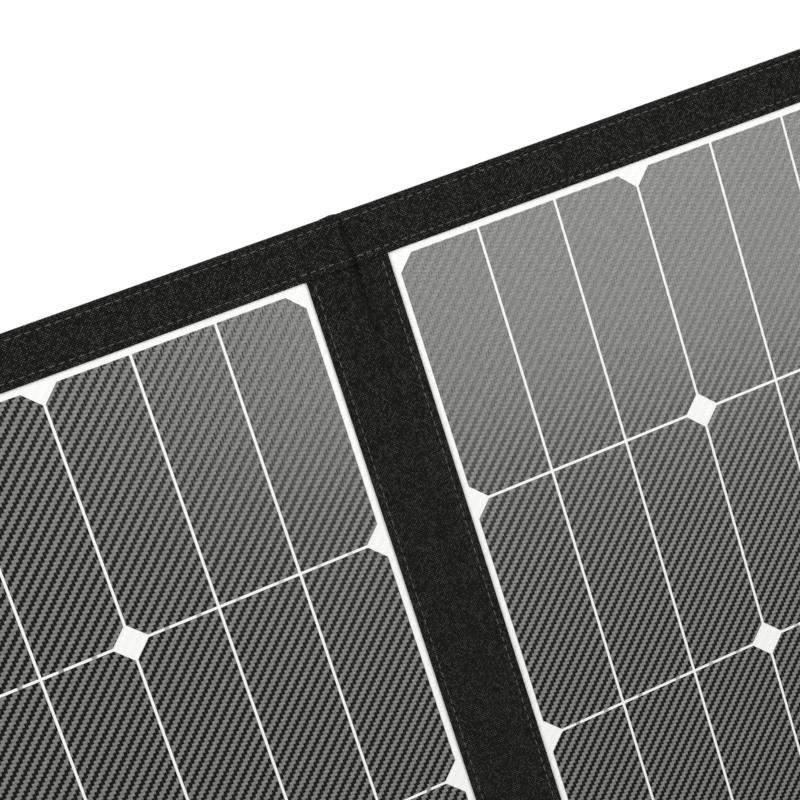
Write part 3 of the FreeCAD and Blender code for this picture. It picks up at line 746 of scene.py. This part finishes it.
BORDER_CLOTH = cloth_material(
    "border_cloth", (0.0004, 0.0004, 0.0003), (0.066, 0.0667, 0.059), BORDER_PITCH
)
BACK_CLOTH = cloth_material("back_cloth", (0.002, 0.0021, 0.0021), (0.08, 0.084, 0.08), BACK_PITCH)
THREAD = fuzzy_material(
    "sewing_thread", (0.015, 0.015, 0.014), (0.13, 0.133, 0.124), 0.6, 420, 3, 0.6, 0.05 * MM
)
HOOKS = fuzzy_material(
    "hook_and_loop_tape", (0.003, 0.003, 0.003), (0.05, 0.05, 0.05), 0.95, 1500, 5, 0.8, 0.5 * MM
)
WEBBING = webbing_material()
CELL = cell_material()
BACKSHEET_FILM = backsheet_material()
FILM = plain_material(
    "clear_film", Base_Color=(0.04, 0.04, 0.04), Alpha=0.04, Roughness=0.25, IOR=1.45
)
TAB_METAL = metal_material("tinned_tab", (0.86, 0.86, 0.85), 0.35)
COPPER = metal_material("copper_ribbon", (0.72, 0.42, 0.26), 0.35)
EYELET = metal_material("nickel_eyelet", (0.72, 0.71, 0.69), 0.22, 220)
STEEL = metal_material("plated_screw", (0.6, 0.6, 0.6), 0.3, 220)
BOARD = plastic_material("glass_fibre_board", (0.42, 0.46, 0.36), 0.6, 700)
BOX = plastic_material("moulded_box", (0.018, 0.018, 0.019), 0.5, 1300)
TERMINAL = plastic_material("moulded_terminal", (0.6, 0.6, 0.56), 0.45)
DIODE = plastic_material("epoxy_diode", (0.012, 0.012, 0.012), 0.25, 500)
GLAND = plastic_material("nylon_gland", (0.025, 0.025, 0.026), 0.42, 900)

# the CAD nodes that stay in the visual model, by the start of their names
CAD_LOOKS = {
    "cell_strips": CELL,
    "interconnect_tabs": TAB_METAL,
    "white_backsheet": BACKSHEET_FILM,
    "backing_board": BOARD,
    "bus_ribbons": COPPER,
    "eyelets": EYELET,
    "junction_box": BOX,
    "lid_screws": STEEL,
    "terminal_block": TERMINAL,
    "blocking_diodes": DIODE,
    "cable_glands": GLAND,
    "tab_loop_strip": HOOKS,
    "flap_hook_strip": HOOKS,
}
for node_name, node in frame["nodes"].items():
    for start, look in CAD_LOOKS.items():
        if node_name.startswith(start):
            dress(node, look)

# ---------------------------------------------------------------------------- fabric of the blanket
STRETCHES = (
    ("left", -FREE_END, -MID_PANEL, FOLDS[0], VALLEY_REACH, ("panel_1", "panel_2"), (1,)),
    ("middle", -MID_PANEL, MID_PANEL, FOLDS[1], MOUNTAIN_REACH, ("panel_2", "panel_3"), (2, 3)),
    ("right", MID_PANEL, FREE_END, FOLDS[2], VALLEY_REACH, ("panel_3", "panel_4"), (4,)),
)


def lay_stretch(index, side, low_x, high_x, fold, reach, bodies, panels):
    """The fabric from one seam to the next, creased where it crosses one fold."""
    upper = hem(f"upper_hem_{side}", low_x, high_x, 1, fold)
    lower = hem(f"lower_hem_{side}", low_x, high_x, -1, fold)
    cover = back_cover(f"back_cover_{side}", low_x, high_x, fold)
    middle = spine(f"spine_{side}", fold)
    thread = stitch_stretch(f"stitching_{side}", low_x, high_x, fold)
    if side != "middle":
        for piece in (upper, lower, cover):
            open_eyelet_holes(piece)
    dress(cover, BACK_CLOTH)
    for piece in (upper, lower, middle):
        dress(piece, BORDER_CLOTH)
    for piece in (upper, lower, cover, middle, thread):
        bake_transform(piece)
    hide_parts(*(f"hem_upper_{n}" for n in panels))
    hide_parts(*(f"hem_lower_{n}" for n in panels))
    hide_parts(*(f"back_cover_{n}" for n in panels))
    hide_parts(f"spine_right_{index}", f"spine_left_{index + 1}")


for index, stretch in enumerate(STRETCHES, 1):
    lay_stretch(index, *stretch)


def film_sheet(name, node):
    """The clear film over a panel, a hair off the cells under it, with its rim rolled down."""
    low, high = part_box(node)
    rim = 1.2 * MM
    rings = ((0, -0.32), (0, -0.12), (0.3 * rim, -0.03), (rim, 0), (rim, -0.3))
    vertices = []
    for inward, drop in rings:
        z = high.z + drop * MM
        vertices += [(low.x + inward, low.y + inward, z), (high.x - inward, low.y + inward, z)]
        vertices += [(high.x - inward, high.y - inward, z), (low.x + inward, high.y - inward, z)]
    faces = []
    for ring in range(3):
        for corner in range(4):
            a, b = 4 * ring + corner, 4 * ring + (corner + 1) % 4
            faces.append((a, b, b + 4, a + 4))
    faces.append((12, 13, 14, 15))
    for corner in range(4):
        a, b = corner, (corner + 1) % 4
        faces.append((b, a, 16 + a, 16 + b))
    faces.append((19, 18, 17, 16))
    return outward(new_object(name, vertices, faces, smooth_shade=False))


for number in range(1, 5):
    film = film_sheet(f"film_{number}", f"clear_frontsheet_{number}")
    dress(film, FILM)
    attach(film, f"panel_{number}")
    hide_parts(f"clear_frontsheet_{number}")

for hand, side, number in ENDS:
    border = open_eyelet_holes(end_border(f"end_border_cloth_{side}", hand))
    dress(border, BORDER_CLOTH)
    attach(border, f"panel_{number}")
    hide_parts(f"end_border_{side}")

# ------------------------------------------------------------------------------------ carry handles
HANDLE_HALF = 60 * MM
HANDLE_BEND = 28 * MM
HANDLE_GRIP_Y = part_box("carry_handle_right")[1].y - 5 * MM
WEB_HALF = 10 * MM
WEB_THICK = 1.6 * MM
SEWN = 12.6 * MM  # the length of strap that is sewn to the hem
GRIP_RADIUS = 4.5 * MM
WRAP_RADIUS = 5.0 * MM
WRAP_SEAM = 0.35 * MM
BOX_HALF = 8 * MM  # half the width of the sewn box on each end
STRAP_BEND = (-0.4 * MM, 3 * MM)  # where the strap starts and ends its bend, from the outer edge


def handle_line():
    """The middle line of a handle's strap in its own plane, from one sewn end to the other."""
    leg_top = HANDLE_GRIP_Y - HANDLE_BEND
    line = [(-HANDLE_HALF, y) for y in np.arange(OUTER_Y - SEWN, OUTER_Y - 1 * MM, 2 * MM)]
    line += [(-HANDLE_HALF, y) for y in np.arange(OUTER_Y - 1 * MM, OUTER_Y + 4 * MM, 0.5 * MM)]
    line += [(-HANDLE_HALF, y) for y in np.arange(OUTER_Y + 4 * MM, leg_top, 2 * MM)]
    for angle in np.radians(np.arange(0, 90, 5)):
        centre_x = -HANDLE_HALF + HANDLE_BEND
        rise = HANDLE_BEND * math.sin(angle)
        line.append((centre_x - HANDLE_BEND * math.cos(angle), leg_top + rise))
    line += [(x, HANDLE_GRIP_Y) for x in np.linspace(-HANDLE_HALF + HANDLE_BEND, 0, 12)]
    return line + [(-x, y) for x, y in line[-2::-1]]


def tube_ring(place, along, half_width, half_thick, power, turns=20):
    """A closed ring that runs from a flat strap (high power) to a round grip (power 2)."""
    side = np.array([-along[1], along[0], 0.0])
    ring = []
    for angle in np.linspace(0, 2 * math.pi, turns, endpoint=False):
        c, s = math.cos(angle), math.sin(angle)
        wide = math.copysign(abs(c) ** (2 / power), c) * half_width
        high = math.copysign(abs(s) ** (2 / power), s) * half_thick
        ring.append(place + side * wide + np.array([0, 0, high]))
    return ring


def strap(name, centre):
    """One strap: flat where it's sewn on, rolled into a round grip over the middle."""
    line = handle_line()
    rings = []
    for i, (x, y) in enumerate(line):
        x0, y0 = line[max(0, i - 1)]
        x1, y1 = line[min(len(line) - 1, i + 1)]
        along = np.array([x1 - x0, y1 - y0, 0.0])
        along /= np.linalg.norm(along)
        rolled = float(smooth(OUTER_Y + 6 * MM, OUTER_Y + 26 * MM, y))
        half_width = WEB_HALF * (1 - rolled) + GRIP_RADIUS * rolled
        half_thick = WEB_THICK / 2 * (1 - rolled) + GRIP_RADIUS * rolled
        lying = float(smooth(OUTER_Y, OUTER_Y + 14 * MM, y))
        sewn_z = FLAT_TOP + WEB_THICK / 2 + 0.05 * MM
        z = sewn_z * (1 - lying) + WRAP_RADIUS * lying
        power = 7 * (1 - rolled) + 2 * rolled
        rings.append(tube_ring(np.array([centre + x, y, z]), along, half_width, half_thick, power))
    lengths = [0.0]
    for before, after in zip(line, line[1:]):
        lengths.append(lengths[-1] + math.dist(before, after))
    by_length = dict(zip(lengths, rings))
    return swept(name, lengths, lambda s: by_length[s])


def grip_wrap(name, centre):
    """The cloth sleeve round the grip, with a thicker hem at each end and a seam along it."""
    half = HANDLE_HALF - HANDLE_BEND + 2 * MM
    stations = list(np.arange(-half, half, 2 * MM)) + [half]
    stations += [-half + 0.6 * MM, half - 0.6 * MM, -half + 5 * MM, half - 5 * MM]

    def section(x):
        end = min(abs(x - half), abs(x + half))
        radius = WRAP_RADIUS - 0.25 * MM * float(smooth(4 * MM, 6 * MM, end))
        radius -= 0.6 * MM * (1 - float(smooth(0, 0.7 * MM, end)))
        ring = []
        for angle in np.linspace(0, 2 * math.pi, 28, endpoint=False):
            seam = WRAP_SEAM * float(bell(math.remainder(angle - math.pi, 2 * math.pi), 0, 0.22))
            y = HANDLE_GRIP_Y + math.cos(angle) * (radius + seam)
            ring.append((centre + x, y, WRAP_RADIUS + math.sin(angle) * radius))
        return ring

    return swept(name, sorted(stations), section)


def strap_stitches(name, centre):
    """A sewn box with a cross in it on each end of the strap."""
    thread = Thread()
    z = FLAT_TOP + WEB_THICK + 0.14 * MM
    low, high = OUTER_Y - SEWN + 1.6 * MM, OUTER_Y - 1.4 * MM
    for hand in (-1, 1):
        middle = centre + hand * HANDLE_HALF
        left, right = middle - BOX_HALF, middle + BOX_HALF
        corners = [(left, low, z), (right, low, z), (right, high, z), (left, high, z)]
        for a, b in ((0, 1), (1, 2), (2, 3), (3, 0), (0, 2), (1, 3)):
            thread.follow([corners[a], corners[b]], up=(0, 0, 1))
    return thread.make(name)


for hand, side, number in ENDS:
    centre = hand * PANEL_CENTRE
    web = strap(f"strap_{side}", centre)
    dress(web, WEBBING)
    start, end = ((centre, OUTER_Y + off, 0) for off in STRAP_BEND)
    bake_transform(web)
    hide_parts(f"handle_ends_{side}", f"carry_handle_{side}")
    wrap = grip_wrap(f"grip_wrap_{side}", centre)
    dress(wrap, BORDER_CLOTH)
    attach(wrap, f"{side}_handle")
    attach(strap_stitches(f"strap_stitches_{side}", centre), f"panel_{number}")

# --------------------------------------------------------------------------------- junction-box tab
TAB_LOW, TAB_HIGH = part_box("output_tab")
TAB_CENTRE = 0.5 * (TAB_LOW.x + TAB_HIGH.x)
FLAP_LOW, FLAP_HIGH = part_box("cover_flap")
FLAP_HALF = 0.5 * (FLAP_HIGH.x - FLAP_LOW.x)
LOOP_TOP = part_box("tab_loop_strip")[1].z
TAB_HINGE_Y = 0.5 * (TAB_HIGH.y - OUTER_Y)
TAB_CORNERS = (6 * MM, 12 * MM)  # radii near the hem and away from it
TAB_SEAM = 2.8 * MM
TAB_STRIP_INSET = 3 * MM
FLAP_THICK = 0.9 * MM
FLAP_CORNER = 7 * MM
FLAP_DROOP = 0.5 * MM  # the flap sags along its sides, and the row of stitches there a bit less
SEAM_DROOP = 0.36 * MM
FLAP_SEAM = 3 * MM
FLAP_ROOT_SEAM = 3.4 * MM


def rounded_outline(low, high, near, far):
    """An outline in the ground plane, with its corners rounded by near at +Y and far at -Y."""
    points = []
    for x, y, radius, start in (
        (high.x, high.y, near, 0),
        (low.x, high.y, near, 90),
        (low.x, low.y, far, 180),
        (high.x, low.y, far, 270),
    ):
        inward_x = -1 if x == high.x else 1
        inward_y = -1 if y == high.y else 1
        for angle in np.radians(np.linspace(start, start + 90, 9)):
            px = x + inward_x * radius + radius * math.cos(angle)
            points.append((px, y + inward_y * radius + radius * math.sin(angle)))
    return np.array(points)


def inset(points, amount):
    """A closed outline moved inward."""
    before, after = np.roll(points, 1, axis=0), np.roll(points, -1, axis=0)
    along = after - before
    along /= np.linalg.norm(along, axis=1)[:, None]
    return points + amount * np.column_stack([-along[:, 1], along[:, 0]])


def padded_plate(name, outline, low, high, edge):
    """A cloth-covered plate with a rounded edge all round and a slightly sunk seam line."""
    rings = [(3.2, low), (1.0, low), (0.3, low + 0.25 * edge), (0, 0.5 * (low + high))]
    rings += [(0.3, high - 0.25 * edge), (1.0, high - 0.03 * edge), (2.2, high)]
    rings += [(2.8, high - 0.12 * edge), (3.4, high), (5.0, high)]
    vertices = []
    for amount, z in rings:
        vertices += [(x, y, z) for x, y in inset(outline, amount * MM)]
    count = len(outline)
    faces = []
    for ring in range(len(rings) - 1):
        for i in range(count):
            k = (i + 1) % count
            a = ring * count
            faces.append((a + i, a + k, a + count + k, a + count + i))
    faces.append(tuple(reversed(range(count))))
    faces.append(tuple((len(rings) - 1) * count + i for i in range(count)))
    obj = outward(new_object(name, vertices, faces, [(v[0], v[1]) for v in vertices]))
    return sharpen(obj, PLATE_ANGLE)


tab_outline = rounded_outline(TAB_LOW, TAB_HIGH, *TAB_CORNERS)
tab = padded_plate("tab_cloth", tab_outline, HAIR, TAB_HIGH.z - HAIR, 1.6 * MM)
dress(tab, BORDER_CLOTH)
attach(tab, "junction_tab")
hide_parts("output_tab")
thread = Thread()
seam = inset(tab_outline, TAB_SEAM)
seam_line = [(x, y, TAB_HIGH.z - 0.14 * MM) for x, y in np.vstack([seam, seam[:1]])]
thread.follow(seam_line, up=(0, 0, 1))
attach(thread.make("tab_stitches"), "junction_tab")


def tab_hinge(name):
    """The strip of cloth inside the hem and the tab, on which the tab folds under."""
    offsets = np.arange(-5.2, 5.3, 0.4) * MM
    stations = np.linspace(TAB_LOW.x + TAB_STRIP_INSET, TAB_HIGH.x - TAB_STRIP_INSET, 30)

    def section(x):
        top = [(x, TAB_HINGE_Y + o, 1.5 * MM) for o in offsets]
        under = [(x, TAB_HINGE_Y + o, 0.9 * MM) for o in offsets[::-1]]
        return top + under

    return swept(name, stations, section)


strip = tab_hinge("tab_hinge_cloth")
dress(strip, BORDER_CLOTH)
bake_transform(strip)


def flap_line():
    """The flap's upper face from its root to its free end: distance from the hem and height."""
    root, crest, foot = TAB_HIGH.z + 1.0 * MM, FLAP_HIGH.z, LOOP_TOP + 0.8 * MM + 1.0 * MM
    corners = [(2.4, root), (6.4, root), (17.4, crest), (60.0, crest), (66.6, foot), (78.0, foot)]
    corners = [np.array([away * MM, z]) for away, z in corners]
    line = [corners[0]]
    for b, c, a in zip(corners, corners[1:], corners[2:]):
        back, ahead = np.linalg.norm(b - c), np.linalg.norm(a - c)
        reach = min(3.5 * MM, 0.45 * back, 0.45 * ahead)
        start, end = c + (b - c) / back * reach, c + (a - c) / ahead * reach
        for t in np.linspace(0, 1, 7):
            line.append(start * (1 - t) ** 2 + 2 * c * t * (1 - t) + end * t**2)
    line.append(corners[-1])
    dense = [line[0]]
    for before, after in zip(line, line[1:]):
        pieces = max(1, int(np.linalg.norm(after - before) / (3 * MM)))
        dense += [before + (after - before) * (i + 1) / pieces for i in range(pieces)]
    return np.array(dense)


FLAP_LINE = flap_line()
FLAP_END = FLAP_LINE[-1, 0]


def sag(away, droop):
    """How far the flap's side hangs at a distance from the hem: only where it lies over the box."""
    over_box = float(smooth(10 * MM, 17 * MM, away)) * float(1 - smooth(58 * MM, 64 * MM, away))
    return droop * over_box


def flap(name):
    """The cover over the box, with its free corners rounded and its sides hanging a little."""
    along = np.gradient(FLAP_LINE, axis=0)
    along /= np.linalg.norm(along, axis=1)[:, None]
    below = FLAP_LINE + FLAP_THICK * np.column_stack([along[:, 1], -along[:, 0]])
    stations = list(np.arange(-FLAP_HALF, FLAP_HALF, 4 * MM)) + [FLAP_HALF]
    for off in (0.5, 1.2, 2.2, 3.4, 5, 7):
        stations += [off * MM - FLAP_HALF, FLAP_HALF - off * MM]

    def section(x):
        into_corner = max(0.0, FLAP_CORNER - (FLAP_HALF - abs(x)))
        end = FLAP_END - FLAP_CORNER + math.sqrt(max(0.0, FLAP_CORNER**2 - into_corner**2))
        droop = FLAP_DROOP * float(smooth(FLAP_HALF - 12 * MM, FLAP_HALF, abs(x)))
        ring = []
        for away, z in np.concatenate([FLAP_LINE, below[::-1]]):
            ring.append((TAB_CENTRE + x, -OUTER_Y - min(away, end), z - sag(away, droop)))
        return ring

    return swept(name, sorted(set(stations)), section)


cover = flap("flap_cloth")
dress(cover, BORDER_CLOTH)
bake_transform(cover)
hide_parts("cover_flap")
thread = Thread()
seam_half = FLAP_HALF - FLAP_SEAM
on_flap = [p for p in FLAP_LINE if 9 * MM < p[0] < FLAP_END - FLAP_SEAM]
for hand in (-1, 1):
    x = TAB_CENTRE + hand * seam_half
    side_line = [(x, -OUTER_Y - away, z - sag(away, SEAM_DROOP)) for away, z in on_flap]
    thread.follow(side_line, across=(-1, 0, 0))
foot = (-OUTER_Y - FLAP_END + FLAP_SEAM, FLAP_LINE[-1, 1])
foot_half = seam_half - 4 * MM
thread.follow([(TAB_CENTRE - foot_half, *foot), (TAB_CENTRE + foot_half, *foot)], up=(0, 0, 1))
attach(thread.make("flap_stitches"), "flap")
thread = Thread()
root = (-OUTER_Y - FLAP_ROOT_SEAM, FLAP_LINE[0, 1])
thread.follow([(TAB_CENTRE - seam_half, *root), (TAB_CENTRE + seam_half, *root)], up=(0, 0, 1))
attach(thread.make("flap_root_stitches"), "junction_tab")

# ----------------------------------------------------------------------------- floor, light, camera
FLOOR_HALF, FLOOR_Z = 9, -0.0004
LOOKED_AT = Vector((0, 0.17, 0))
LIGHT_COLOUR = (1, 1, 0.965)
# where each light is seen from the middle of the picture, one side's direction, its distance,
# its size and its radiance
LIGHTS = (
    ("key_light", (0.53, 0.085, 1.0), (1, 0, 0), 2.4, 1.63, 4.5),
    ("fill_light", (-0.6, 0.45, 0.66), (0, 1, 0), 3.0, 2.0, 7.6),
)
CAMERA_PLACE = (-0.2391, 0.3796, 0.8703)
CAMERA_TOWARDS = (0.26483, -0.20868, -0.94145)
CAMERA_ABOVE = (0.34866, 0.93097, -0.10828)
CAMERA_LENS = 87.28

floor_corners = [(-1, -1), (1, -1), (1, 1), (-1, 1)]
floor_corners = [(x * FLOOR_HALF, y * FLOOR_HALF, FLOOR_Z) for x, y in floor_corners]
floor = new_object("floor", floor_corners, [(0, 1, 2, 3)], smooth_shade=False)
floor_look = plain_material(
    "pale_floor", Base_Color=(0.97, 0.97, 0.97), Roughness=0.95, Specular_IOR_Level=0.0
)
dress(floor, floor_look)

world = bpy.data.worlds.new("studio")
world.use_nodes = True
world.node_tree.nodes["Background"].inputs["Color"].default_value = (1, 1, 1, 1)
world.node_tree.nodes["Background"].inputs["Strength"].default_value = 0.07
bpy.context.scene.world = world
bpy.context.scene.view_settings.view_transform = "Standard"


def softbox(name, direction, edge, distance, size, radiance):
    """A square light that faces the middle of the picture, with two of its sides along edge."""
    light = bpy.data.lights.new(name, "AREA")
    light.shape = "SQUARE"
    light.size = size
    light.energy = radiance * math.pi * size * size
    light.color = LIGHT_COLOUR
    obj = bpy.data.objects.new(name, light)
    bpy.context.scene.collection.objects.link(obj)
    facing = Vector(direction).normalized()
    along = (Vector(edge) - facing * Vector(edge).dot(facing)).normalized()
    upright = facing.cross(along)
    turn = Matrix((along, upright, facing)).transposed().to_4x4()
    obj.matrix_world = Matrix.Translation(LOOKED_AT + facing * distance) @ turn


for light in LIGHTS:
    softbox(*light)

camera_data = bpy.data.cameras.new("camera")
camera_data.lens = CAMERA_LENS
camera_data.sensor_width = 36
camera_data.clip_start = 0.02
camera = bpy.data.objects.new("camera", camera_data)
bpy.context.scene.collection.objects.link(camera)
towards = Vector(CAMERA_TOWARDS).normalized()
right = towards.cross(Vector(CAMERA_ABOVE).normalized()).normalized()
above = right.cross(towards)
turn = Matrix((right, above, -towards)).transposed().to_4x4()
camera.matrix_world = Matrix.Translation(CAMERA_PLACE) @ turn
bpy.context.scene.camera = camera
